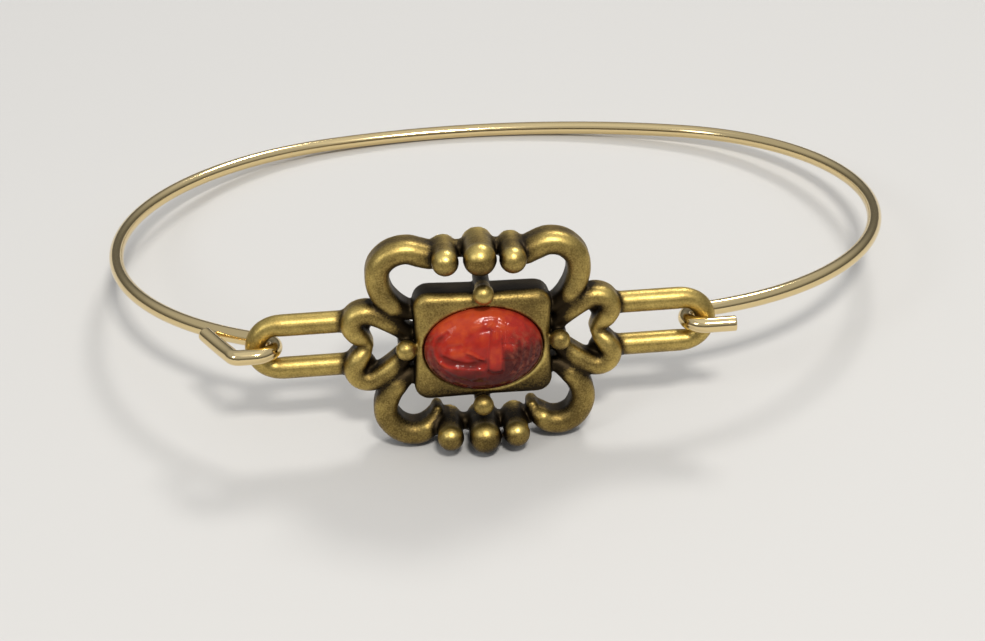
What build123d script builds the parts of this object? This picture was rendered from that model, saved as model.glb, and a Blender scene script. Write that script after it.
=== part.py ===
from build123d import *
import os
from math import asin, atan2, cos, degrees, radians, sin, sqrt

# Millimetres and degrees. The pieces are modelled with the loop of wire flat in the XY plane,
# X along the centrepiece and -Y the way that its face looks, then laid down as they rest.

# Spring wire: a hook, three bends and an eye
wire_diameter = 1.2
right_bend_radius = 21.3
left_bend_radius = 23.3
back_bend_radius = 56.2
right_exit_angle = 8.5
left_exit_angle = 26.3
hook_leg_length = 2.15
eye_leg_length = 0.75
eye_bend_radius = 0.95
eye_fold_angle = 61.0
eye_leg_gap = 0.05

# Links, the long loops at each side of the casting
link_bar_diameter = 1.56
link_opening = 1.98
link_reach = 17.2
link_root = 9.7
hook_clearance = 0.1

# Plate and its oval seat
plate_half_width = 5.25
plate_half_height = 4.3
plate_side_hollow = 0.35
plate_edge_hollow = 0.15
plate_corner_radius = 1.3
plate_edge_round = 0.6
plate_back = -0.8
plate_front = 2.45
seat_floor = 0.6
seat_clearance = 0.06

# Stone: an oval dome with a scarab cut into it
stone_half_length = 4.5
stone_half_height = 3.3
stone_top = 4.2
stone_equator = 2.5
stone_dome_spread = 0.12
carving_depth = 0.16
carving_width = 0.26
collar_start = 0.3
collar_end = 1.35
wing_border = 0.95

# Strands of the corner scrolls
casting_half_height = 8.5
scroll_width = 1.86
scroll_back = -0.9
scroll_front = 1.9
scroll_round = 0.8
scroll_bend_share = 0.44
scroll_centre_u = 5.45
scroll_tip_angle = 150.0
scroll_root_u = 5.8
scroll_root_v = 2.7

# Strands of the hearts
heart_width = 1.7
heart_back = -0.78
heart_front = 1.7
heart_round = 0.73
heart_lobe_radius = 1.05
heart_lobe_u = 8.75
heart_lobe_v = 1.85
heart_root_u = 5.7
heart_root_v = 0.8
heart_cusp_angle = -50.0

# Rows of pegs above and below the plate
peg_back = -0.6
centre_peg_diameter = 2.48
centre_peg_tip = 2.95
side_peg_diameter = 2.06
side_peg_tip = 2.85
side_peg_u = 2.52
centre_peg_inset = 0.1
side_peg_inset = 0.27
peg_web_width = 1.1
peg_web_front = 1.3
peg_web_round = 0.45

# Bead pegs round the stone
bead_diameter = 1.6
bead_neck_diameter = 1.2
top_bead_v = 4.57
top_bead_tip = 3.05
side_bead_u = 5.8
side_bead_tip = 2.2

wire_radius = wire_diameter / 2
bar_radius = link_bar_diameter / 2
link_half = link_opening / 2 + bar_radius
hook_radius = bar_radius + hook_clearance + wire_radius
scroll_top_v = casting_half_height - scroll_width / 2
scroll_bend_radius = (scroll_top_v - scroll_root_v) * scroll_bend_share
scroll_centre_v = scroll_top_v - scroll_bend_radius


def along(angle):
    return Vector(cos(radians(angle)), sin(radians(angle)))


def bearing(vector):
    return degrees(atan2(vector.Y, vector.X))


def walk(start, angle, steps):
    """Edges of a smooth path. A step is a length and no turn, or a radius and a turn to the left."""
    edges = []
    for length, turn in steps:
        if turn == 0:
            end = start + along(angle) * length
            edges.append(Line(start, end))
        else:
            inward = angle + (90 if turn > 0 else -90)
            centre = start + along(inward) * length
            middle = centre - along(inward + turn / 2) * length
            end = centre - along(inward + turn) * length
            edges.append(ThreePointArc(start, middle, end))
        start = end
        angle += turn
    return edges, start


def round_bar(edges, angle, radius):
    """A round bar or wire along the edges, which set out at the angle."""
    path = Wire(edges)
    return sweep(Plane(origin=path @ 0, z_dir=along(angle)) * Circle(radius), path=path)


def strand(edges, width, back, front, edge_round):
    """A cast strand: a band along the edges, as deep as the casting, with soft edges and ends."""
    path = Wire(edges)
    band = trace(path, width)
    for end in (path @ 0, path @ 1):
        band += Pos(end.X, end.Y) * Circle(width / 2)
    solid = Pos(0, 0, back) * extrude(band, front - back)
    return fillet(solid.edges().filter_by(Axis.Z, reverse=True), edge_round)


def loop_centres():
    """Centres of the loop's right, back and left bends, each tangent to the next."""
    right_outward = along(right_exit_angle + 90)
    left_outward = along(90 - left_exit_angle)
    right = Vector(link_reach, 0) + right_outward * (hook_radius + right_bend_radius)
    left = Vector(-link_reach, 0) + left_outward * (hook_radius + left_bend_radius)
    span = left - right
    from_right = back_bend_radius - right_bend_radius
    from_left = back_bend_radius - left_bend_radius
    foot = (span.length**2 + from_right**2 - from_left**2) / (2 * span.length)
    forward = along(bearing(span) + 90)
    back = right + span.normalized() * foot + forward * sqrt(from_right**2 - foot**2)
    return right, back, left


def spring_wire():
    """The hook in front of the right link's end, round the loop, and the folded eye at the left."""
    right, back, left = loop_centres()
    back_start = bearing(right - back) + 90
    back_end = bearing(left - back) + 90
    steps = [
        (hook_leg_length, 0),
        (hook_radius, right_exit_angle - 180),
        (right_bend_radius, back_start - right_exit_angle),
        (back_bend_radius, back_end - back_start),
        (left_bend_radius, 360 - left_exit_angle - back_end),
        (hook_radius, left_exit_angle - 180),
        (eye_leg_length, 0),
        (eye_bend_radius, -eye_fold_angle),
    ]
    edges, fold = walk(Vector(link_reach + hook_leg_length, -hook_radius), 180, steps)

    # The folded leg stops where its side comes to lie against the main wire.
    leg = along(180 - eye_fold_angle)
    offset = fold - left
    reach = left_bend_radius + wire_diameter + eye_leg_gap
    towards = offset.dot(leg)
    leg_length = -towards - sqrt(towards**2 - offset.length**2 + reach**2)
    edges.append(Line(fold, fold + leg * leg_length))
    return round_bar(edges, 180, wire_radius)


def link():
    """The right link: two bars joined by a round end."""
    straight = link_reach - link_half - link_root
    steps = [(straight, 0), (link_half, -180), (straight, 0)]
    edges, _ = walk(Vector(link_root, link_half), 0, steps)
    return round_bar(edges, 0, bar_radius)


def to_bend(root, centre, radius, side):
    """Length and angle of the straight from a root into a bend, which turns left if side is 1."""
    away = centre - root
    rise = bearing(away) - side * degrees(asin(radius / away.length))
    return sqrt(away.length**2 - radius**2), rise


def scroll():
    """The upper right scroll, from the plate's side out, round and back to the outer peg."""
    root = Vector(scroll_root_u, scroll_root_v)
    centre = Vector(scroll_centre_u, scroll_centre_v)
    straight, rise = to_bend(root, centre, scroll_bend_radius, 1)
    steps = [(straight, 0), (scroll_bend_radius, scroll_tip_angle + 90 - rise)]
    edges, _ = walk(root, rise, steps)
    return strand(edges, scroll_width, scroll_back, scroll_front, scroll_round)


def heart_half():
    """The upper half of the right heart, from the bead at the plate's side to the cusp."""
    root = Vector(heart_root_u, heart_root_v)
    centre = Vector(heart_lobe_u, heart_lobe_v)
    straight, rise = to_bend(root, centre, heart_lobe_radius, -1)
    leave = heart_cusp_angle - 90
    drop = heart_lobe_v + heart_lobe_radius * sin(radians(heart_cusp_angle))
    steps = [
        (straight, 0),
        (heart_lobe_radius, leave - rise),
        (drop / cos(radians(heart_cusp_angle)), 0),
    ]
    edges, _ = walk(root, rise, steps)
    return strand(edges, heart_width, heart_back, heart_front, heart_round)


def peg(u, v, diameter, back, tip):
    """A round peg that stands forward and ends in a ball about its tip."""
    shank = Pos(u, v, back) * extrude(Circle(diameter / 2), tip - back)
    return shank + Pos(u, v, tip) * Sphere(diameter / 2)


def bead_peg(u, v, tip):
    """A bead on a thinner neck that grows out of the plate's side."""
    neck = Pos(u, v, plate_back) * extrude(Circle(bead_neck_diameter / 2), tip - plate_back)
    return neck + Pos(u, v, tip) * Sphere(bead_diameter / 2)


def peg_row():
    """The upper row of three pegs, with the web that joins them to the scrolls."""
    centre_v = casting_half_height - centre_peg_inset - centre_peg_diameter / 2
    side_v = casting_half_height - side_peg_inset - side_peg_diameter / 2
    web_end = scroll_centre_u + scroll_bend_radius * cos(radians(scroll_tip_angle))
    web = strand(
        [Line((-web_end, side_v), (web_end, side_v))],
        peg_web_width, peg_back, peg_web_front, peg_web_round,
    )
    row = [web, peg(0, centre_v, centre_peg_diameter, peg_back, centre_peg_tip)]
    for u in (-side_peg_u, side_peg_u):
        row.append(peg(u, side_v, side_peg_diameter, peg_back, side_peg_tip))
    return row


def oval(inset):
    return Ellipse(stone_half_length - inset, stone_half_height - inset)


def plate():
    """The cushion-shaped plate: hollowed sides, round corners and the oval seat in its face."""
    w = plate_half_width
    h = plate_half_height
    side = w - plate_side_hollow
    edge = h - plate_edge_hollow
    outline = make_face(Wire([
        ThreePointArc((w, h), (0, edge), (-w, h)),
        ThreePointArc((-w, h), (-side, 0), (-w, -h)),
        ThreePointArc((-w, -h), (0, -edge), (w, -h)),
        ThreePointArc((w, -h), (side, 0), (w, h)),
    ]))
    outline = fillet(outline.vertices(), plate_corner_radius)
    block = Pos(0, 0, plate_back) * extrude(outline, plate_front - plate_back)
    block = fillet(block.faces().sort_by(Axis.Z)[-1].edges(), plate_edge_round)
    return block - Pos(0, 0, seat_floor) * extrude(oval(-seat_clearance), plate_front)


def mirrored(piece, planes):
    """The piece with its mirror images in each plane."""
    pieces = [piece]
    for plane in planes:
        pieces += [item.mirror(plane) for item in pieces]
    return pieces


def cast_centrepiece():
    """The one casting, with its face looking up."""
    across = Plane.YZ
    upright = Plane.XZ
    pieces = mirrored(link(), [across])
    pieces += mirrored(scroll(), [across, upright])
    pieces += mirrored(heart_half(), [across, upright])
    for piece in peg_row():
        pieces += mirrored(piece, [upright])
    pieces += mirrored(bead_peg(0, top_bead_v, top_bead_tip), [upright])
    pieces += mirrored(bead_peg(side_bead_u, 0, side_bead_tip), [across])
    casting = plate()
    for piece in pieces:
        casting += piece
    return casting


def dome(inset):
    """The smooth stone, smaller all round by the inset."""
    base = seat_floor + seat_clearance
    prism = Pos(0, 0, base) * extrude(oval(inset), stone_top - base)
    swell = scale(Sphere(1), by=(
        stone_half_length + stone_dome_spread - inset,
        stone_half_height + stone_dome_spread - inset,
        stone_top - stone_equator - inset,
    ))
    foot = Pos(0, 0, base) * extrude(oval(inset), stone_equator - base)
    return prism & (Pos(0, 0, stone_equator) * swell + foot)


def carving():
    """Upright walls where the scarab's lines are cut: collar, wing seam and wing border."""
    tall = 2 * stone_half_height
    lines = Sketch()
    for u in (collar_start, collar_end):
        lines += Pos(u, 0) * Rectangle(carving_width, tall)
    seam = collar_start + stone_half_length - wing_border
    lines += Pos(collar_start - seam / 2, 0) * Rectangle(seam, carving_width)
    border = oval(wing_border) - oval(wing_border + carving_width)
    head_side = Pos(collar_start + stone_half_length, 0) * Rectangle(2 * stone_half_length, tall)
    lines += border - head_side
    return Pos(0, 0, plate_front) * extrude(lines, stone_top - plate_front)


def scarab_stone():
    """The stone with its lines cut in to the carving depth, and its face looking up."""
    return dome(0) - (carving() - dome(carving_depth))


def rest_tilt():
    """How far the loop leans when the lower scrolls and the back of the wire lie on a surface."""
    _, back, _ = loop_centres()
    run = back.Y + back_bend_radius + scroll_back + scroll_width / 2
    rise = casting_half_height - scroll_width / 2
    lean = atan2(rise, run) + asin((scroll_width / 2 - wire_radius) / sqrt(run**2 + rise**2))
    return degrees(lean)


def main():
    face = Plane(origin=(0, 0, 0), x_dir=(1, 0, 0), z_dir=(0, -1, 0))
    pieces = {
        "spring_wire": spring_wire(),
        "cast_centrepiece": face * cast_centrepiece(),
        "scarab_stone": face * scarab_stone(),
    }
    lean = Rot(-rest_tilt(), 0, 0)
    pieces = {name: lean * piece for name, piece in pieces.items()}
    box = Compound(children=[Compound(piece.solids()) for piece in pieces.values()]).bounding_box()
    middle = box.center()
    os.makedirs("parts", exist_ok=True)
    for name, piece in pieces.items():
        export_step(Pos(-middle.X, -middle.Y, -box.min.Z) * piece, f"parts/{name}.step")


main()
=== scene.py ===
import math
import bpy
import numpy as np
from mathutils import Matrix, Vector


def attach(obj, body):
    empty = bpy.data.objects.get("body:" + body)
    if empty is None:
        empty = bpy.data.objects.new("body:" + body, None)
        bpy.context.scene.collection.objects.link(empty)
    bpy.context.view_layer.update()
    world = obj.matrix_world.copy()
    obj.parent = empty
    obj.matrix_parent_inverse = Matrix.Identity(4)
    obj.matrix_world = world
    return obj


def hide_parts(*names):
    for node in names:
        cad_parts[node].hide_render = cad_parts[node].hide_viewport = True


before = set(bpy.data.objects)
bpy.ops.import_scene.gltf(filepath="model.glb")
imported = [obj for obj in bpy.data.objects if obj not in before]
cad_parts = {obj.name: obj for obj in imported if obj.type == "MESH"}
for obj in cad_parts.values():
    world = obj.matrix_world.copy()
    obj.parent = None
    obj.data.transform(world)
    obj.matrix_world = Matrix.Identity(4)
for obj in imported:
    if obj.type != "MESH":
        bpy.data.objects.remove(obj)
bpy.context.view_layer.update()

# Sizes are in millimetres until a mesh is made. The wire is shaped flat in the plane of its loop.
# The casting and the stone are shaped in the plane of the centrepiece, with u to the right, v up
# and w out towards the viewer. All three are then laid down as they rest.
MM = 0.001
REST_TILT = math.radians(9.682125)
REST_SHIFT = Vector((-2.8061, -20.4451, 8.4071))
FACE = Matrix(((1, 0, 0, 0), (0, 0, -1, 0), (0, 1, 0, 0), (0, 0, 0, 1)))
REST = Matrix.Scale(MM, 4) @ Matrix.Translation(REST_SHIFT) @ Matrix.Rotation(-REST_TILT, 4, "X")


# Meshes from arrays

def mesh_object(name, points, faces, matrix):
    """A smooth mesh object from an array of points and an array of triangles or quads."""
    points = np.asarray(points, dtype=np.float32)
    faces = np.asarray(faces, dtype=np.int32)
    turn = np.array(matrix, dtype=np.float32)
    points = points @ turn[:3, :3].T + turn[:3, 3]
    count, corners = faces.shape
    mesh = bpy.data.meshes.new(name)
    mesh.vertices.add(len(points))
    mesh.vertices.foreach_set("co", points.ravel())
    mesh.loops.add(count * corners)
    mesh.loops.foreach_set("vertex_index", faces.ravel())
    mesh.polygons.add(count)
    mesh.polygons.foreach_set("loop_start", np.arange(count, dtype=np.int32) * corners)
    mesh.update(calc_edges=True)
    mesh.polygons.foreach_set("use_smooth", np.ones(count, dtype=bool))
    mesh.validate()
    piece = bpy.data.objects.new(name, mesh)
    bpy.context.scene.collection.objects.link(piece)
    return piece


def add_attribute(piece, name, values):
    """A number at each vertex of a piece, which its material reads."""
    layer = piece.data.attributes.new(name, "FLOAT", "POINT")
    layer.data.foreach_set("value", np.asarray(values, dtype=np.float32))


def ring_faces(rings, sides):
    """Quads between rings of points that follow one another."""
    ring = np.arange(rings - 1)[:, None] * sides
    side = np.arange(sides)[None, :]
    following = (side + 1) % sides
    corners = (ring + side, ring + following, ring + sides + following, ring + sides + side)
    return np.stack(corners, axis=-1).reshape(-1, 4)


# Soft limits

def step(x, start, end):
    """A smooth rise from 0 at the start to 1 at the end."""
    t = np.clip((x - start) / (end - start), 0, 1)
    return t * t * (3 - 2 * t)


def within(x, limit, soft):
    """A smooth fall over a soft width, from 1 to 0 at the limit."""
    return step(limit - x, 0, soft)


def bump(x, width):
    """A smooth hump of height 1 about zero."""
    return np.exp(-(x / width) ** 2)


# Paths in a plane

def walk(start, angle, steps, spacing):
    """Evenly spaced points of a smooth path. A step is (length, 0) or (radius, turn in degrees)."""
    points = [np.array(start, dtype=float)]
    angle = math.radians(angle)
    for size, turn in steps:
        turn = math.radians(turn)
        length = size if turn == 0 else size * abs(turn)
        count = max(2, round(length / spacing))
        for _ in range(count):
            angle += turn / count / 2
            stride = length / count
            if turn != 0:
                stride = 2 * size * math.sin(abs(turn) / count / 2)
            points.append(points[-1] + stride * np.array((math.cos(angle), math.sin(angle))))
            angle += turn / count / 2
    return np.array(points)


def curve_through(points, per_span):
    """A smooth curve through the points, each a row of numbers."""
    points = np.asarray(points, dtype=float)
    padded = np.vstack([2 * points[0] - points[1], points, 2 * points[-1] - points[-2]])
    t = np.linspace(0, 1, per_span, endpoint=False)[:, None]
    spans = []
    for a, b, c, d in zip(padded, padded[1:], padded[2:], padded[3:]):
        spans.append(b + t * (c - a) / 2 + t**2 * (a - 2.5 * b + 2 * c - d / 2)
                     + t**3 * (1.5 * b - a / 2 - 1.5 * c + d / 2))
    return np.vstack(spans + [points[-1:]])


def path_distance(u, v, path):
    """Distance of each place from a path in the plane, and how far along it the nearest point is."""
    best = np.full(u.shape, np.inf)
    along = np.zeros(u.shape)
    for index, (a, b) in enumerate(zip(path, path[1:])):
        du, dv = b - a
        t = np.clip(((u - a[0]) * du + (v - a[1]) * dv) / (du * du + dv * dv), 0, 1)
        away = np.hypot(u - a[0] - t * du, v - a[1] - t * dv)
        nearer = away < best
        best[nearer] = away[nearer]
        along[nearer] = index + t[nearer]
    return best, along


# Spring wire: a hook through the right link, three bends, and an eye through the left link

WIRE_RADIUS = 0.6
BAR_RADIUS = 0.78
HOOK_CLEARANCE = 0.1
HOOK_RADIUS = BAR_RADIUS + HOOK_CLEARANCE + WIRE_RADIUS
LINK_REACH = 17.2
RIGHT_BEND, BACK_BEND, LEFT_BEND = 21.3, 56.2, 23.3
RIGHT_EXIT, LEFT_EXIT = 8.5, 26.3
HOOK_LEG, EYE_LEG = 2.15, 1.15
FOLD_RADIUS, FOLD_TURN = 0.62, -60
FOLDED_LEG, FOLDED_LEG_RISE, RISE_POWER = 4.4, 0.3, 1.5
CUT_RIM, RIM_STEPS = 0.12, 5
WIRE_SPACING = 0.2
WIRE_SIDES = 36


def heading(angle):
    """A step of length 1 in a direction in degrees."""
    return np.array((math.cos(math.radians(angle)), math.sin(math.radians(angle))))


def bearing(from_point, to_point):
    """The direction from one point to another in degrees."""
    return math.degrees(math.atan2(to_point[1] - from_point[1], to_point[0] - from_point[0]))


def loop_centres():
    """Centres of the loop's right, back and left bends, each tangent to the next."""
    right = (LINK_REACH, 0) + heading(RIGHT_EXIT + 90) * (HOOK_RADIUS + RIGHT_BEND)
    left = (-LINK_REACH, 0) + heading(90 - LEFT_EXIT) * (HOOK_RADIUS + LEFT_BEND)
    from_right, from_left = BACK_BEND - RIGHT_BEND, BACK_BEND - LEFT_BEND
    span = math.dist(right, left)
    foot = (span**2 + from_right**2 - from_left**2) / (2 * span)
    forward = heading(bearing(right, left) + 90)
    back = right + (left - right) / span * foot + forward * math.sqrt(from_right**2 - foot**2)
    return right, back, left


def wire_points():
    """Centre line of the wire from the hook's tip, round the loop, to the folded leg's end."""
    right, back, left = loop_centres()
    back_start = bearing(back, right) + 90
    back_end = bearing(back, left) + 90
    steps = [
        (HOOK_LEG, 0),
        (HOOK_RADIUS, RIGHT_EXIT - 180),
        (RIGHT_BEND, back_start - RIGHT_EXIT),
        (BACK_BEND, back_end - back_start),
        (LEFT_BEND, 360 - LEFT_EXIT - back_end),
        (HOOK_RADIUS, LEFT_EXIT - 180),
        (EYE_LEG, 0),
        (FOLD_RADIUS, FOLD_TURN),
        (FOLDED_LEG, 0),
    ]
    start = (LINK_REACH + HOOK_LEG, -HOOK_RADIUS)
    flat = walk(start, 180, steps, WIRE_SPACING)
    height = np.zeros(len(flat))
    leg_count = round(FOLDED_LEG / WIRE_SPACING)
    height[-leg_count:] = FOLDED_LEG_RISE * np.linspace(0, 1, leg_count) ** RISE_POWER
    return np.column_stack([flat, height])


def cut_end(tip, neighbour, radius):
    """Points and radii that soften the rim of a cut end, from the tip inwards."""
    inward = (neighbour - tip) / np.linalg.norm(neighbour - tip)
    turns = np.linspace(0, math.pi / 2, RIM_STEPS)[::-1]
    points = [tip + inward * CUT_RIM * (1 - math.sin(turn)) for turn in turns]
    radii = [radius - CUT_RIM * (1 - math.cos(turn)) for turn in turns]
    return points, radii


def soften_ends(points, radius):
    """The path with softened rims at both ends, and the radius at each of its points."""
    start, start_radii = cut_end(points[0], points[1], radius)
    end, end_radii = cut_end(points[-1], points[-2], radius)
    inner = points[1:-1]
    radii = start_radii + [radius] * len(inner) + end_radii[::-1]
    return np.vstack([start, inner, end[::-1]]), np.array(radii)


def tube(name, points, radii, sides, matrix):
    """A round tube about a path of points, with a radius at each, closed with flat ends."""
    ahead = np.gradient(points, axis=0)
    ahead /= np.linalg.norm(ahead, axis=1)[:, None]
    side = np.cross(ahead, (0, 0, 1))
    side /= np.linalg.norm(side, axis=1)[:, None]
    lift = np.cross(side, ahead)
    angle = np.linspace(0, 2 * math.pi, sides, endpoint=False)[None, :, None]
    ring = side[:, None] * np.cos(angle) + lift[:, None] * np.sin(angle)
    around = (points[:, None] + ring * radii[:, None, None]).reshape(-1, 3)
    quads = ring_faces(len(points), sides)
    first = np.arange(sides)
    following = (first + 1) % sides
    last_ring = (len(points) - 1) * sides
    middle = np.full(sides, len(around))
    start_cap = np.column_stack([following, first, middle])
    end_cap = np.column_stack([last_ring + first, last_ring + following, middle + 1])
    triangles = np.vstack([quads[:, [0, 1, 2]], quads[:, [0, 2, 3]], start_cap, end_cap])
    return mesh_object(name, np.vstack([around, points[:1], points[-1:]]), triangles, matrix)


# Cast centrepiece, as a field of distances that is turned into a mesh

CELL = 0.145
LOW = np.array((-18.4, -8.95, -1.35))
HIGH = np.array((18.4, 8.95, 4.6))
AXES = [np.arange(low, high, CELL) for low, high in zip(LOW, HIGH)]
U, V = np.meshgrid(AXES[0], AXES[1], indexing="ij")
W = AXES[2][None, None, :]
BLEND = 0.3

# Plate. Its sides bow in, and its lower left corner droops.
PLATE_HALF = (5.4, 4.3)
PLATE_BACK, PLATE_FRONT = -0.8, 2.45
PLATE_CORNER, CORNER_STEPS = 1.45, 8
PLATE_EDGE = 0.72
PLATE_HOLLOW = (0.38, 0.12)
PLATE_DROOP = (0.05, 0.24)
PLATE_TURN = math.radians(-1.7)
CROWN_RISE, CROWN_WIDTH = 0.12, 1.2

# Stone and its seat in the plate
STONE_HALF = (4.48, 3.28)
STONE_LEVEL = -0.18
SEAT_GAP, SEAT_FLOOR, SEAT_RIM = 0.07, 0.7, 0.16

# Links. Their bars are a little thicker from the start of the swell inwards.
LINK_ROOT = 9.0
LINK_HALF_OPENING = 0.99
LINK_SPACING = 0.25
LINK_SWELL, SWELL_START, SWELL_LENGTH = 0.07, 16.2, 1.2

# Strands. One that is thinner than the full half width stands out less.
FULL_HALF_WIDTH = 0.8
LEAST_THINNING, THINNING_POWER = 0.3, 0.6
SIDE_ROUNDING, DEPTH_ROUNDING = 0.98, 0.45
STRAND_STEPS = 6

# Scrolls at the four corners, from the free end to the root on the plate: u, v and width
SCROLL_BACK, SCROLL_FRONT = -0.9, 1.95
SCROLLS = [
    [(-2.9, 7.1, 1.7), (-3.55, 6.98, 1.85), (-4.35, 7.2, 1.9), (-5.35, 7.5, 1.85),
     (-6.55, 7.25, 1.85), (-7.45, 6.4, 1.85), (-7.62, 5.2, 1.85), (-7.3, 4.1, 1.8),
     (-6.65, 3.3, 1.65), (-6.05, 2.85, 1.4), (-5.5, 2.55, 1.2)],
    [(2.9, 6.85, 1.5), (3.5, 6.8, 1.7), (4.25, 7.15, 1.85), (5.3, 7.5, 1.85),
     (6.45, 7.25, 1.85), (7.33, 6.35, 1.85), (7.5, 5.2, 1.8), (7.2, 4.1, 1.75),
     (6.65, 3.25, 1.55), (6.15, 2.75, 1.3), (5.6, 2.3, 1.15)],
    [(-3.7, -5.95, 0.85), (-3.85, -6.4, 1.15), (-4.25, -6.95, 1.5), (-4.9, -7.42, 1.8),
     (-5.85, -7.5, 1.9), (-6.85, -7.0, 1.9), (-7.55, -6.0, 1.9), (-7.6, -5.0, 1.85),
     (-7.2, -4.0, 1.8), (-6.6, -3.3, 1.6), (-6.05, -2.85, 1.4), (-5.5, -2.55, 1.2)],
    [(3.6, -6.1, 0.9), (3.75, -6.45, 1.2), (4.15, -6.87, 1.55), (4.95, -7.38, 1.8),
     (5.95, -7.4, 1.9), (6.9, -6.85, 1.9), (7.45, -5.85, 1.9), (7.5, -4.9, 1.85),
     (7.15, -4.0, 1.8), (6.55, -3.3, 1.6), (6.0, -2.85, 1.4), (5.5, -2.55, 1.2)],
]

# Upper half of the right heart, from its root to its cusp: u, v and width
HEART_BACK, HEART_FRONT = -0.78, 1.75
HEART_HALF = [(5.7, 0.85, 1.3), (6.6, 1.7, 1.5), (7.6, 2.45, 1.65), (8.6, 2.85, 1.7),
              (9.45, 2.6, 1.7), (9.8, 1.85, 1.7), (9.5, 1.15, 1.6), (9.05, 0.55, 1.35),
              (8.8, 0.0, 1.0)]
UPPER_LEFT_LOBE = 0.93

# Rows of pegs: u, v, ball radius, how far the tip stands out, how far the back end is off upwards
PEG_BACK = -0.6
PEG_SHANK = 0.96
PEGS = [
    (-2.55, 7.18, 1.02, 2.85, 0.0), (0.02, 7.3, 1.25, 2.95, 0.05), (2.48, 7.05, 1.02, 2.85, 0.1),
    (-2.85, -7.3, 1.02, 2.85, 0.2), (-0.22, -7.42, 1.24, 2.95, 0.26), (2.2, -7.32, 1.02, 2.85, 0.2),
]

# Web that joins the pegs of a row and the scrolls beside it: u, v and width
WEB_BACK, WEB_FRONT = -0.4, 1.25
WEB = [(-3.2, 7.2, 1.25), (0, 7.25, 1.35), (3.2, 7.15, 1.25)]

# Bead pegs at the middles of the plate's four sides
BEAD_BACK = -0.8
BEAD_NECK, BEAD_BALL = 0.62, 0.8
SIDE_BEAD_U, SIDE_BEAD_TIP, SIDE_BEAD_BLEND = 5.8, 2.2, 0.25
MIDDLE_BEADS = [(0.15, 4.5), (-0.25, -4.62)]
MIDDLE_BEAD_TIP, MIDDLE_BEAD_BLEND = 3.05, 0.15


def rounded(side, depth, radius):
    """Distance from a form with this distance in the plane and this one across it."""
    side = side + radius
    depth = depth + radius
    outside = np.hypot(np.maximum(side, 0), np.maximum(depth, 0))
    return outside + np.minimum(np.maximum(side, depth), 0) - radius


def merge(a, b, blend):
    """Union of two fields with a soft fillet where they meet."""
    mix = np.clip(0.5 + 0.5 * (b - a) / blend, 0, 1)
    return b + (a - b) * mix - blend * mix * (1 - mix)


def strand_field(points, back, front):
    """A cast strand through points of (u, v, width), with rounded edges."""
    path = curve_through(points, STRAND_STEPS)
    away, along = path_distance(U, V, path[:, :2])
    half = np.interp(along, np.arange(len(path)), path[:, 2]) / 2
    side = (away - half)[:, :, None]
    thinning = np.clip(half / FULL_HALF_WIDTH, LEAST_THINNING, 1) ** THINNING_POWER
    reach = ((front - back) * thinning)[:, :, None]
    depth = np.abs(W - back - reach / 2) - reach / 2
    edge = np.minimum(half[:, :, None] * SIDE_ROUNDING, reach * DEPTH_ROUNDING)
    return rounded(side, depth, edge)


def round_field(points, radii):
    """A round bar about a path in the plane, with a radius at each of its points."""
    away, along = path_distance(U, V, points)
    radius = np.interp(along, np.arange(len(points)), radii)[:, :, None]
    return np.sqrt(away[:, :, None] ** 2 + W**2) - radius


def peg_field(u, v, radius, back, tip, ball, lean=0.0):
    """A round peg with a ball at its tip. The lean is how far its back end stands off upwards."""
    t = np.clip((tip - W) / (tip - back), 0, 1)
    away = np.sqrt((U - u)[:, :, None] ** 2 + (V[:, :, None] - v - lean * t) ** 2)
    shank = np.maximum(away - radius, np.maximum(back - W, W - tip))
    end = np.sqrt(((U - u) ** 2 + (V - v) ** 2)[:, :, None] + (W - tip) ** 2) - ball
    return np.minimum(shank, end)


def bead_field(u, v, tip):
    return peg_field(u, v, BEAD_NECK, BEAD_BACK, tip, BEAD_BALL)


def outline_distance(corners):
    """Signed distance of each point in the plane from a closed outline, negative inside."""
    closed = np.vstack([corners, corners[:1]])
    away, _ = path_distance(U, V, closed)
    inside = np.zeros(U.shape, dtype=bool)
    for (au, av), (bu, bv) in zip(closed, closed[1:]):
        if av == bv:
            continue
        crosses = (av > V) != (bv > V)
        inside ^= crosses & (U < (bu - au) * (V - av) / (bv - av) + au)
    return np.where(inside, -away, away)


def seat_distance(u, v):
    """About how far a place lies outside the wall of the stone's seat."""
    half_u, half_v = STONE_HALF
    oval = np.hypot(u / (half_u + SEAT_GAP), (v - STONE_LEVEL) / (half_v + SEAT_GAP)) - 1
    return oval * half_v


def bow(hollow, along, across):
    """How far a side bows in, most at the middle of its length and fading away from the edge."""
    return hollow * np.clip(1 - along**2, 0, 1) * np.clip(np.abs(across), 0, 1.2) ** 4


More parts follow.
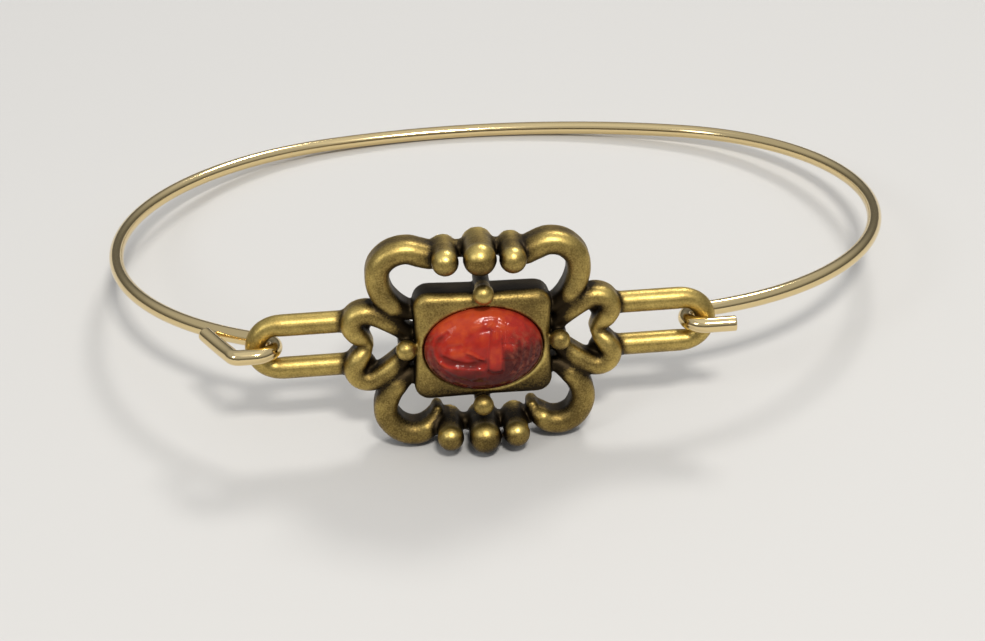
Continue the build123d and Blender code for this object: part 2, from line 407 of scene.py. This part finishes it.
def plate_field():
    """The cushion-shaped plate with its crowned face and the seat cut into it."""
    half_u, half_v = PLATE_HALF
    droop_u, droop_v = PLATE_DROOP
    turns = np.linspace(0, math.pi / 2, CORNER_STEPS)
    quarter = [(half_u - PLATE_CORNER + PLATE_CORNER * math.cos(turn),
                half_v - PLATE_CORNER + PLATE_CORNER * math.sin(turn)) for turn in turns]
    outline = quarter + [(-u, v) for u, v in quarter[::-1]]
    outline += [(-u - droop_u, -v - droop_v) for u, v in quarter]
    outline += [(u, -v) for u, v in quarter[::-1]]
    turn = np.array(((math.cos(PLATE_TURN), math.sin(PLATE_TURN)),
                     (-math.sin(PLATE_TURN), math.cos(PLATE_TURN))))
    away = outline_distance(np.array(outline) @ turn)
    away += bow(PLATE_HOLLOW[0], V / half_v, U / half_u)
    away += bow(PLATE_HOLLOW[1], U / half_u, V / half_v)
    crown = CROWN_RISE * np.clip(-away / CROWN_WIDTH, 0, 1)
    front = (PLATE_FRONT - CROWN_RISE + crown)[:, :, None]
    block = rounded(away[:, :, None], np.maximum(PLATE_BACK - W, W - front), PLATE_EDGE)
    seat = np.maximum(seat_distance(U, V)[:, :, None], SEAT_FLOOR - W)
    return -merge(-block, seat, SEAT_RIM)


def link_path(side):
    """Centre line of the bars of one link, out along one and back along the other."""
    half = LINK_HALF_OPENING + BAR_RADIUS
    straight = LINK_REACH - half - LINK_ROOT
    steps = [(straight, 0), (half, -180), (straight, 0)]
    return walk((LINK_ROOT, half), 0, steps, LINK_SPACING) * (side, 1)


def casting_field():
    """Distance from the whole casting, with soft fillets where its forms meet."""
    forms = []
    for side in (-1, 1):
        path = link_path(side)
        swell = LINK_SWELL * within(np.abs(path[:, 0]), SWELL_START, SWELL_LENGTH)
        forms.append((round_field(path, BAR_RADIUS + swell), BLEND))
        for level in (-1, 1):
            lobe = UPPER_LEFT_LOBE if side < 0 < level else 1.0
            heart = [(u * side, v * level * lobe, width) for u, v, width in HEART_HALF]
            forms.append((strand_field(heart, HEART_BACK, HEART_FRONT), BLEND))
        forms.append((bead_field(side * SIDE_BEAD_U, 0, SIDE_BEAD_TIP), SIDE_BEAD_BLEND))
    for scroll in SCROLLS:
        forms.append((strand_field(scroll, SCROLL_BACK, SCROLL_FRONT), BLEND))
    for level in (-1, 1):
        web = [(u, v * level, width) for u, v, width in WEB]
        forms.append((strand_field(web, WEB_BACK, WEB_FRONT), BLEND))
    for u, v, ball, tip, lean in PEGS:
        forms.append((peg_field(u, v, ball * PEG_SHANK, PEG_BACK, tip, ball, lean), BLEND))
    for u, v in MIDDLE_BEADS:
        forms.append((bead_field(u, v, MIDDLE_BEAD_TIP), MIDDLE_BEAD_BLEND))
    whole = plate_field()
    for form, blend in forms:
        whole = merge(whole, form, blend)
    return whole


def surface_net(field, low, cell):
    """Points and quads of the surface where the field is zero."""
    inside = field < 0
    size = np.array(field.shape)
    total = np.zeros(tuple(size - 1) + (3,), dtype=np.float32)
    count = np.zeros(tuple(size - 1), dtype=np.float32)
    edges = []

    # A point in each cell that the surface passes, at the mean of its crossings of the edges
    for axis in range(3):
        near = [slice(None)] * 3
        far = [slice(None)] * 3
        near[axis] = slice(0, -1)
        far[axis] = slice(1, None)
        a, b = field[tuple(near)], field[tuple(far)]
        cut = inside[tuple(near)] != inside[tuple(far)]
        place = np.where(cut, a / np.where(cut, a - b, 1), 0)
        edges.append((cut, inside[tuple(near)]))
        others = [other for other in range(3) if other != axis]
        for first in (0, 1):
            for second in (0, 1):
                pick = [slice(None)] * 3
                pick[others[0]] = slice(first, first + size[others[0]] - 1)
                pick[others[1]] = slice(second, second + size[others[1]] - 1)
                hit = cut[tuple(pick)]
                count += hit
                total[..., axis] += place[tuple(pick)] * hit
                total[..., others[0]] += first * hit
                total[..., others[1]] += second * hit
    used = count > 0
    index = np.full(used.shape, -1, dtype=np.int64)
    index[used] = np.arange(used.sum())
    corner = np.argwhere(used)
    points = low + cell * (corner + total[used] / count[used][:, None])

    # A quad round each crossed edge, through the points of the four cells that share it
    quads = []
    for axis, (cut, starts_inside) in enumerate(edges):
        p, q = (axis + 1) % 3, (axis + 2) % 3
        where = np.argwhere(cut)
        where = where[(where[:, p] > 0) & (where[:, q] > 0)
                      & (where[:, p] < size[p] - 1) & (where[:, q] < size[q] - 1)]
        step_p, step_q = np.eye(3, dtype=int)[p], np.eye(3, dtype=int)[q]
        around = [where - step_p - step_q, where - step_q, where, where - step_p]
        quad = np.column_stack([index[tuple(place.T)] for place in around])
        flip = ~starts_inside[tuple(where.T)]
        quad[flip] = quad[flip][:, ::-1]
        quads.append(quad)
    return points, np.vstack(quads)


def box_blur(values, reach):
    """Mean of each value's neighbours out to a number of cells along every axis."""
    for axis in range(3):
        padding = [(0, 0)] * 3
        padding[axis] = (reach + 1, reach)
        running = np.cumsum(np.pad(values, padding, mode="edge"), axis=axis)
        upper = [slice(None)] * 3
        lower = [slice(None)] * 3
        upper[axis] = slice(2 * reach + 1, None)
        lower[axis] = slice(0, -2 * reach - 1)
        values = (running[tuple(upper)] - running[tuple(lower)]) / (2 * reach + 1)
    return values


def sample(values, points):
    """The value of a grid of values at each point."""
    just_inside = np.array(values.shape) - 1.001
    place = np.clip((points - LOW) / CELL, 0, just_inside)
    base = place.astype(int)
    part = place - base
    result = 0
    for corner in np.ndindex(2, 2, 2):
        weight = np.prod(np.where(np.array(corner) == 1, part, 1 - part), axis=1)
        result = result + weight * values[tuple((base + corner).T)]
    return result


# Patina on the casting, with painted shade and painted highlights added. The share of metal close by
# and further off tells a hollow from a crest.
NEAR_CELLS, NEAR_WEIGHT, NEAR_CREST = 3, 1.5, 0.42
FAR_CELLS, FAR_WEIGHT, FAR_CREST = 8, 1.6, 0.3
EVEN_PATINA = 0.38
BESIDE_PLATE, BESIDE_PEGS = 0.55, -0.1
OUTER_ROWS, LOWER_HALF = 0.06, 0.1
# Of these, the last two are painted shade: above the top bead and on undersides.
LOWER_PEG_SHANKS, SHADE_ABOVE_TOP_BEAD, UNDERSIDE_SHADE = 0.22, 0.4, 0.22
# Painted shade on the balls, and a painted highlight on their tops
BALL_PAINTED_SHADE, BALL_PAINTED_HIGHLIGHT = 0.27, -0.38
DARKEST = 1.2

# Places whose patina is drawn to a level, and how strongly. The lip's level is a painted highlight.
BACK_LEVEL = (0.12, 0.6)
LIP_HIGHLIGHT_LEVEL = (0.0, 1.0)
BEAD_LEVEL = (0.36, 0.8)
BAR_LEVEL = (0.38, 0.8)
PLATE_TOP_LEVEL, PLATE_BOTTOM_RISE, PLATE_SIDE_SLOPE, PLATE_STRENGTH = 0.2, 0.36, 0.014, 0.85


def towards(values, area, level, strength):
    """The values, drawn towards a level inside an area."""
    return values + area * (level - values) * strength


def casting_patina_and_painted_light(points, near, far, underside_shade):
    """From 0 on rubbed brass to 1 where dark patina fills the hollows, with painted shade and
    painted highlights added.
    """
    x, y, out = points.T
    u, v = np.abs(x), np.abs(y)
    middle = within(u, 7.0, 1.2) * within(v, 6.2, 0.8)
    rows = within(u, 4.2, 1.0) * step(v, 5.6, 6.3)
    patina_and_painted_light = NEAR_WEIGHT * (near - NEAR_CREST) + FAR_WEIGHT * (far - FAR_CREST)
    patina_and_painted_light += BESIDE_PLATE * middle * within(out, 2.1, 0.7)
    patina_and_painted_light += BESIDE_PEGS * rows * within(out, 1.6, 0.6)
    patina_and_painted_light = towards(patina_and_painted_light, step(-out, 0.3, 0.8), *BACK_LEVEL)

    # The plate's face darkens downwards and a little to the right
    level = PLATE_TOP_LEVEL + PLATE_BOTTOM_RISE * step(-y, 1.5, 4.2) + PLATE_SIDE_SLOPE * x
    patina_and_painted_light = towards(patina_and_painted_light, middle * step(out, 1.9, 2.2), level, PLATE_STRENGTH)
    patina_and_painted_light += EVEN_PATINA + OUTER_ROWS * step(v, 3.2, 4.4) + LOWER_HALF * step(-y, 3.0, 6.0)

    # The seat's lip has a painted highlight at its lower right
    lip_highlight = bump(seat_distance(x, y) - 0.1, 0.13) * step(out, 1.9, 2.1)
    patina_and_painted_light = towards(patina_and_painted_light, lip_highlight * step(x, -2.0, 1.5) * step(-y, 0.0, 1.5), *LIP_HIGHLIGHT_LEVEL)

    # The balls of the pegs have painted shade with a painted highlight on top, and the shanks of the
    # lower row are dull
    ball = within(u, 4.0, 0.4) * step(v, 5.8, 6.2) * step(out, 2.6, 3.0)
    above = y - np.where(y > 0, 7.2, -7.35)
    patina_and_painted_light += ball * (BALL_PAINTED_SHADE + BALL_PAINTED_HIGHLIGHT * step(above, 0.2, 0.75))
    patina_and_painted_light += LOWER_PEG_SHANKS * rows * step(-y, 5.0, 6.0) * within(out, 2.5, 0.6)

    # The top and bottom beads, painted shade on the metal above the top one, and the bars of the
    # links
    bead = within(u, 1.2, 0.3) * step(v, 3.7, 3.9) * within(v, 5.6, 0.3) * step(out, 2.6, 2.9)
    patina_and_painted_light = towards(patina_and_painted_light, bead, *BEAD_LEVEL)
    patina_and_painted_light += SHADE_ABOVE_TOP_BEAD * within(u, 1.1, 0.5) * step(y, 5.0, 5.4) * within(v, 6.6, 0.5)
    patina_and_painted_light = towards(patina_and_painted_light, step(u, 10.6, 11.2), *BAR_LEVEL)
    # Painted shade on surfaces that face down
    patina_and_painted_light += UNDERSIDE_SHADE * underside_shade
    return np.clip(patina_and_painted_light, 0, DARKEST)


def cast_centrepiece():
    """The casting, with its patina and its painted shade and highlights at each vertex."""
    field = casting_field().astype(np.float32)
    points, quads = surface_net(field, LOW, CELL)
    piece = mesh_object("centrepiece", points, quads, REST @ FACE)
    filled = (field < 0).astype(np.float64)
    near = sample(box_blur(filled, NEAR_CELLS), points)
    far = sample(box_blur(filled, FAR_CELLS), points)
    # How far each surface faces down, for painted shade
    underside_shade = step(-sample(np.gradient(field, CELL, axis=1), points), 0.1, 0.95)
    add_attribute(piece, "patina_and_painted_light", casting_patina_and_painted_light(points, near, far, underside_shade))
    return piece


# Scarab stone

STONE_BASE, STONE_DOME, DOME_POWER = 2.45, 1.75, 2.25
STONE_FOOT = 0.72
STONE_RINGS, STONE_SIDES, RING_CROWDING = 210, 420, 0.85
UNCUT_BORDER = 0.08
CHIP_DEPTH = 0.02
LINE_STEPS = 5

# Lines of the scarab: how deep, how wide, and the points that each passes. Ridges are negative.
CARVED_LINES = [
    (0.1, 0.2, [(-2.75, 1.85), (-3.3, 1.3), (-3.45, 0.7), (-3.3, 0.1)]),
    (-0.07, 0.13, [(-2.9, 2.05), (-3.63, 1.49), (-3.8, 0.93), (-3.72, 0.1), (-3.37, -0.4)]),
    (0.1, 0.2, [(-3.9, 0.4), (-3.7, -0.45), (-3.1, -1.1), (-2.2, -1.7), (-1.2, -2.1), (-0.3, -2.2)]),
    (0.17, 0.24, [(-3.0, -0.02), (-2.6, -0.18), (-1.88, -0.45), (-1.0, -0.54), (-0.15, -0.34)]),
    (-0.11, 0.15, [(-3.3, -0.4), (-2.83, -0.7), (-1.53, -0.84), (-0.28, -0.95)]),
    (-0.12, 0.42, [(-2.45, 0.28), (-1.95, 0.5)]),
    (0.08, 0.2, [(-2.9, 0.5), (-2.6, 0.85), (-1.8, 1.0)]),
    (-0.08, 0.12, [(-1.28, 0.53), (-0.85, 0.31), (-0.12, -0.15)]),
    (0.07, 0.14, [(-1.35, 0.25), (-0.9, 0.02), (-0.3, -0.3)]),
    (0.085, 0.23, [(-1.2, 1.6), (-0.6, 1.95), (-0.1, 2.05), (0.45, 2.1)]),
    (-0.05, 0.1, [(-0.75, 2.33), (-0.1, 2.46)]),
    (-0.07, 0.1, [(0.34, 2.33), (0.67, 2.56)]),
    (-0.05, 0.16, [(-0.45, 3.02), (0.53, 3.02), (1.27, 2.86), (1.45, 2.7)]),
    (0.03, 0.14, [(0.1, 2.7), (0.6, 2.75), (1.15, 2.6)]),
    (-0.05, 0.12, [(1.18, 2.23), (1.59, 2.23)]),
    (0.05, 0.07, [(0.6, 2.1), (0.52, 1.7), (0.43, 1.2), (0.3, 0.3), (0.2, -1.12)]),
    (0.06, 0.07, [(1.36, 1.3), (1.34, 0.9), (1.3, 0.0), (1.23, -1.25)]),
    (-0.05, 0.05, [(0.72, 1.95), (0.72, 1.45)]),
    (-0.05, 0.06, [(0.95, 1.95), (0.93, 1.5)]),
    (-0.05, 0.05, [(1.3, 1.95), (1.28, 1.5)]),
    (-0.05, 0.05, [(1.62, 1.85), (1.6, 1.35)]),
    (-0.05, 0.07, [(2.46, 1.5), (2.5, 1.2)]),
    (0.09, 0.13, [(0.2, -1.17), (0.65, -1.36), (1.23, -1.32)]),
    (0.07, 0.12, [(1.4, 0.98), (2.0, 0.9), (2.55, 0.78)]),
    (0.06, 0.1, [(1.38, -0.2), (1.9, -0.28), (2.5, -0.35)]),
    (0.08, 0.1, [(2.6, 1.0), (2.62, 0.4), (2.5, -0.4), (2.2, -1.1), (1.8, -1.7)]),
    (-0.05, 0.07, [(2.85, 0.9), (2.82, 0.2), (2.68, -0.6), (2.35, -1.4)]),
    (0.06, 0.08, [(3.05, 0.7), (3.08, 0.1), (2.95, -0.7), (2.6, -1.5), (2.1, -2.2)]),
    (-0.05, 0.07, [(3.2, 1.05), (3.38, 0.5), (3.3, -0.2), (3.05, -1.0)]),
    (0.06, 0.07, [(3.5, 0.9), (3.62, 0.3), (3.5, -0.5), (3.2, -1.3)]),
    (-0.04, 0.06, [(3.7, 0.75), (3.85, 0.2), (3.72, -0.5)]),
    (0.05, 0.07, [(3.95, 0.55), (4.02, 0.1), (3.88, -0.6)]),
    (-0.07, 0.18, [(-0.6, -1.6), (0.0, -1.62), (0.1, -1.95)]),
]


def carving(u, v):
    """How deep the scarab's lines are cut at each place."""
    cut = np.zeros(u.shape)
    for depth, width, points in CARVED_LINES:
        away, _ = path_distance(u, v, curve_through(points, LINE_STEPS))
        cut += depth * bump(away, width)
    return cut


def chips(u, v):
    """Small uneven facets where the right end was cut and never polished smooth."""
    waves = np.sin(29 * u + 2.3 * np.sin(8.5 * v)) * np.sin(25 * v + 2.1 * np.sin(10.5 * u) + 0.8)
    return CHIP_DEPTH * waves * step(u, 0.8, 1.6) * step(v, -0.6, 0.6)


def stone_height(share):
    """How far the smooth stone stands out, from its middle to its rim."""
    return STONE_BASE + STONE_DOME * np.sqrt(np.clip(1 - share**DOME_POWER, 0, 1))


def stone_tone(u, v, share):
    """From 0 where the stone is orange red to 1 where it is deep maroon."""
    tone = 0.36 + 0.03 * u - 0.12 * v

    # Darker low down, at the right end and along the left rim
    tone += 0.5 * step(-v, 0.5, 2.2)
    tone += 0.5 * step(u, 1.3, 1.6) * within(v, 0.9, 0.9)
    tone += 0.25 * step(u, 0.9, 1.3) * step(-v, 1.2, 1.6)
    tone += 0.12 * step(u, 1.4, 2.6)
    tone += 0.4 * step(share, 0.78, 0.88) * step(-u, 1.8, 3.0) * within(v, 2.2, 1.0)

    # Brighter on the collar and on the facet to the right of it
    collar = step(u, 0.1, 0.5) * within(u, 1.42, 0.22) * step(v, -1.4, -0.8) * within(v, 1.7, 2.1)
    facet = step(u, 1.35, 1.6) * within(u, 2.6, 0.7) * step(v, -0.7, 0.3) * within(v, 1.1, 0.5)
    return tone - 0.24 * collar - 0.18 * facet


def stone_dust(u, v, share):
    """How much pale dust sits in the lines: at the right end and along the left rim."""
    right_end = 0.9 * step(u, 1.3, 2.4) * within(v, 2.4, 1.0)
    left_rim = step(share, 0.74, 0.84) * step(-u, 0.0, 2.5) * within(v, 2.2, 1.0)
    dust = np.maximum(right_end, left_rim)

    # Uneven streaks that run round the stone, and patches along them
    angle = np.arctan2(v, u)
    wander = 3.0 * np.sin(4 * angle + 0.7) + 2.0 * np.sin(9 * angle + 9 * share + 2.0)
    streak = 0.5 + 0.5 * np.sin(44 * share + wander)
    patch = 0.5 + 0.5 * np.sin(7 * angle - 11 * share)
    return np.maximum(dust * (0.3 + 0.7 * streak * (0.2 + 0.8 * patch)), 0.1)


def scarab_stone():
    """The oval dome with its carving, closed by a wall down into the seat."""
    share = np.linspace(0.0, 1.0, STONE_RINGS)[:, None] ** RING_CROWDING * np.ones((1, STONE_SIDES))
    angle = np.linspace(0, 2 * math.pi, STONE_SIDES, endpoint=False)[None, :]
    u = STONE_HALF[0] * share * np.cos(angle)
    v = STONE_HALF[1] * share * np.sin(angle)
    cut = carving(u, v) + chips(u, v)
    out = stone_height(share) - cut * np.clip((1.0 - share) / UNCUT_BORDER, 0, 1)
    top = np.stack([u, v + STONE_LEVEL, out], axis=-1).reshape(-1, 3)
    foot = top[-STONE_SIDES:].copy()
    foot[:, 2] = STONE_FOOT
    faces = ring_faces(STONE_RINGS + 1, STONE_SIDES)
    piece = mesh_object("scarab", np.vstack([top, foot]), faces, REST @ FACE)
    tone, dust = stone_tone(u, v, share), stone_dust(u, v, share)
    for name, values in (("tone", tone), ("cut", cut), ("dust", dust)):
        add_attribute(piece, name, np.concatenate([values.ravel(), values[-1]]))
    return piece


# Materials

def new_material(name):
    """A new material, its node tree and its shader."""
    made = bpy.data.materials.new(name)
    made.use_nodes = True
    return made, made.node_tree, made.node_tree.nodes["Principled BSDF"]


def grey(value):
    return (value, value, value)


def ramp(tree, value, stops):
    """A colour that follows a value through stops of a place and a colour."""
    node = tree.nodes.new("ShaderNodeValToRGB")
    elements = node.color_ramp.elements
    for element, (place, colour) in zip(elements, (stops[0], stops[-1])):
        element.position = place
        element.color = (*colour, 1)
    for place, colour in stops[1:-1]:
        elements.new(place).color = (*colour, 1)
    tree.links.new(value, node.inputs["Fac"])
    return node.outputs["Color"]


def noise(tree, scale, detail):
    texture = tree.nodes.new("ShaderNodeTexNoise")
    texture.inputs["Scale"].default_value = scale
    texture.inputs["Detail"].default_value = detail
    place = tree.nodes.new("ShaderNodeTexCoord")
    tree.links.new(place.outputs["Object"], texture.inputs["Vector"])
    return texture.outputs["Fac"]


def attribute(tree, name):
    node = tree.nodes.new("ShaderNodeAttribute")
    node.attribute_name = name
    return node.outputs["Fac"]


def math_node(tree, operation, first, second):
    """The result of an operation on two values, each a number or a socket."""
    node = tree.nodes.new("ShaderNodeMath")
    node.operation = operation
    for socket, value in zip(node.inputs, (first, second)):
        if isinstance(value, (int, float)):
            socket.default_value = value
        else:
            tree.links.new(value, socket)
    return node.outputs["Value"]


def add_relief(tree, shader, texture, strength, depth):
    """Fine relief on a shader, from a texture and with its depth in metres."""
    relief = tree.nodes.new("ShaderNodeBump")
    relief.inputs["Strength"].default_value = strength
    relief.inputs["Distance"].default_value = depth
    tree.links.new(texture, relief.inputs["Height"])
    tree.links.new(relief.outputs["Normal"], shader.inputs["Normal"])


def brass_material():
    """Antique brass that goes from rubbed gold to nearly black with its patina, its painted shade
    and its painted highlights.
    """
    made, tree, shader = new_material("antique_brass")
    speckle_share, cloud_share = 0.55, 0.4
    speckle = math_node(tree, "MULTIPLY", noise(tree, 7500, 3), speckle_share)
    clouds = math_node(tree, "MULTIPLY", noise(tree, 800, 4), cloud_share)
    both = math_node(tree, "ADD", speckle, clouds)
    mottle = math_node(tree, "SUBTRACT", both, (speckle_share + cloud_share) / 2)
    # The patina attribute also carries painted shade and painted highlights
    patina_and_painted_light = math_node(tree, "ADD", attribute(tree, "patina_and_painted_light"), mottle)
    colour = ramp(tree, patina_and_painted_light, [
        (0.0, (0.8, 0.62, 0.2)),
        (0.35, (0.52, 0.38, 0.115)),
        (0.65, (0.21, 0.145, 0.045)),
        (0.95, (0.03, 0.021, 0.011)),
    ])
    tree.links.new(colour, shader.inputs["Base Color"])
    roughness = ramp(tree, patina_and_painted_light, [(0.0, grey(0.33)), (0.8, grey(0.5))])
    tree.links.new(roughness, shader.inputs["Roughness"])
    shader.inputs["Metallic"].default_value = 1.0
    add_relief(tree, shader, noise(tree, 6000, 4), 0.4, 0.00003)
    return made


def wire_material():
    made, _, shader = new_material("polished_wire")
    shader.inputs["Metallic"].default_value = 1.0
    shader.inputs["Base Color"].default_value = (0.8, 0.63, 0.33, 1)
    shader.inputs["Roughness"].default_value = 0.13
    return made


def stone_material():
    """Red stone with veins, painted shade in its cut lines and painted light on its ridges, and pale
    dust where it was never polished.
    """
    made, tree, shader = new_material("red_stone")
    vein_share, vein_level, cut_shade_share, dust_share = 0.8, 0.36, 1.6, 0.65
    veins = math_node(tree, "MULTIPLY", noise(tree, 1500, 6), vein_share)
    veined = math_node(tree, "ADD", attribute(tree, "tone"), veins)
    # Painted shade in the cut lines, and painted light on the ridges where the cut is negative
    depth = math_node(tree, "MULTIPLY", attribute(tree, "cut"), cut_shade_share)
    tone = math_node(tree, "ADD", math_node(tree, "SUBTRACT", veined, vein_level), depth)
    colour = ramp(tree, tone, [
        (0.0, (0.5, 0.062, 0.018)),
        (0.3, (0.36, 0.022, 0.014)),
        (0.6, (0.16, 0.012, 0.009)),
        (1.0, (0.055, 0.006, 0.005)),
    ])
    grains = ramp(tree, noise(tree, 3000, 6), [(0.38, grey(0)), (0.7, grey(1))])
    dust = math_node(tree, "MULTIPLY", attribute(tree, "dust"), dust_share)
    dusty = tree.nodes.new("ShaderNodeMix")
    dusty.data_type = "RGBA"
    tree.links.new(math_node(tree, "MULTIPLY", dust, grains), dusty.inputs["Factor"])
    tree.links.new(colour, dusty.inputs["A"])
    dusty.inputs["B"].default_value = (0.42, 0.11, 0.06, 1)
    tree.links.new(dusty.outputs["Result"], shader.inputs["Base Color"])
    shader.inputs["Roughness"].default_value = 0.1
    shader.inputs["Specular IOR Level"].default_value = 0.19
    add_relief(tree, shader, noise(tree, 1600, 5), 0.3, 0.00015)
    return made


def floor_material():
    made, _, shader = new_material("floor")
    shader.inputs["Base Color"].default_value = (0.6, 0.59, 0.57, 1)
    shader.inputs["Roughness"].default_value = 0.9
    return made


# The pieces

line, radii = soften_ends(wire_points(), WIRE_RADIUS)
wire = tube("wire", line, radii, WIRE_SIDES, REST)
wire.data.materials.append(wire_material())
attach(wire, "root")
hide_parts("spring_wire")

casting = cast_centrepiece()
casting.data.materials.append(brass_material())
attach(casting, "root")
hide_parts("cast_centrepiece")

stone = scarab_stone()
stone.data.materials.append(stone_material())
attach(stone, "root")
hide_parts("scarab_stone")


# Floor and light. The lights face a point just right of the middle of the centrepiece.

FLOOR_SIZE = 3.0
TARGET = REST @ Vector((1.0, 0, 0))

bpy.ops.mesh.primitive_plane_add(size=FLOOR_SIZE)
floor = bpy.context.object
floor.name = "floor"
floor.data.materials.append(floor_material())


def soft_light(name, azimuth, elevation, distance, size, power, colour):
    """A rectangular light that faces the object from a bearing and a height in degrees."""
    lamp = bpy.data.lights.new(name, "AREA")
    lamp.shape = "RECTANGLE"
    lamp.size, lamp.size_y = size
    lamp.energy = power
    lamp.color = colour
    a, e = math.radians(azimuth), math.radians(elevation)
    away = Vector((-math.sin(a) * math.cos(e), -math.cos(a) * math.cos(e), math.sin(e)))
    holder = bpy.data.objects.new(name, lamp)
    holder.location = TARGET + away * distance
    holder.rotation_euler = away.to_track_quat("Z", "Y").to_euler()
    bpy.context.scene.collection.objects.link(holder)


# Bearing, height, distance and size in metres, power in watts, and colour
soft_light("key", -11, 57, 0.45, (0.085, 0.055), 1.2, (1, 0.97, 0.92))
soft_light("fill", 55, 38, 0.5, (0.12, 0.16), 0.3, (0.96, 0.98, 1))
soft_light("back", 205, 48, 0.7, (0.2, 0.12), 1.7, (1, 0.98, 0.95))
soft_light("overhead", 0, 89, 0.9, (0.9, 0.9), 0.6, (1, 1, 1))


def studio_world():
    """Even light from all round that is dimmer near the floor."""
    world = bpy.data.worlds.new("studio")
    world.use_nodes = True
    tree = world.node_tree
    direction = tree.nodes.new("ShaderNodeTexCoord")
    height = tree.nodes.new("ShaderNodeSeparateXYZ")
    tree.links.new(direction.outputs["Generated"], height.inputs["Vector"])
    stops = [(0.0, grey(0.22)), (0.22, grey(0.3)), (0.55, (1.0, 1.02, 1.06))]
    background = tree.nodes["Background"]
    tree.links.new(ramp(tree, height.outputs["Z"], stops), background.inputs["Color"])
    background.inputs["Strength"].default_value = 0.5
    return world


bpy.context.scene.world = studio_world()
bpy.context.scene.view_settings.view_transform = "Standard"


# Camera, at the photograph's place in front of the centrepiece

CAMERA_PLACE = (-6.991, -146.62, 67.87)
CAMERA_YAW, CAMERA_RISE = math.radians(-3.08), math.radians(24.5)
CAMERA_ROLL = -0.0476
SENSOR_WIDTH = 36
FOCAL_PIXELS, PICTURE_PIXELS = 2121.76, 985


def camera():
    """The camera, carried along as the object is laid down to rest."""
    yaw, rise, roll = CAMERA_YAW, CAMERA_RISE, CAMERA_ROLL
    right = Vector((math.cos(yaw), math.sin(yaw), 0))
    back = Vector((math.sin(yaw) * math.cos(rise), -math.cos(yaw) * math.cos(rise), math.sin(rise)))
    up = back.cross(right)
    across = right * math.cos(roll) + up * math.sin(roll)
    upward = up * math.cos(roll) - right * math.sin(roll)
    turn = Matrix((across, upward, back)).transposed()
    lens = bpy.data.cameras.new("camera")
    lens.sensor_width = SENSOR_WIDTH
    lens.lens = SENSOR_WIDTH * FOCAL_PIXELS / PICTURE_PIXELS
    lens.clip_start = 0.01
    lens.clip_end = 20
    holder = bpy.data.objects.new("camera", lens)
    lean = Matrix.Rotation(-REST_TILT, 3, "X")
    place = Matrix.Translation(REST @ Vector(CAMERA_PLACE))
    holder.matrix_world = place @ (lean @ turn).to_4x4()
    bpy.context.scene.collection.objects.link(holder)
    bpy.context.scene.camera = holder


camera()
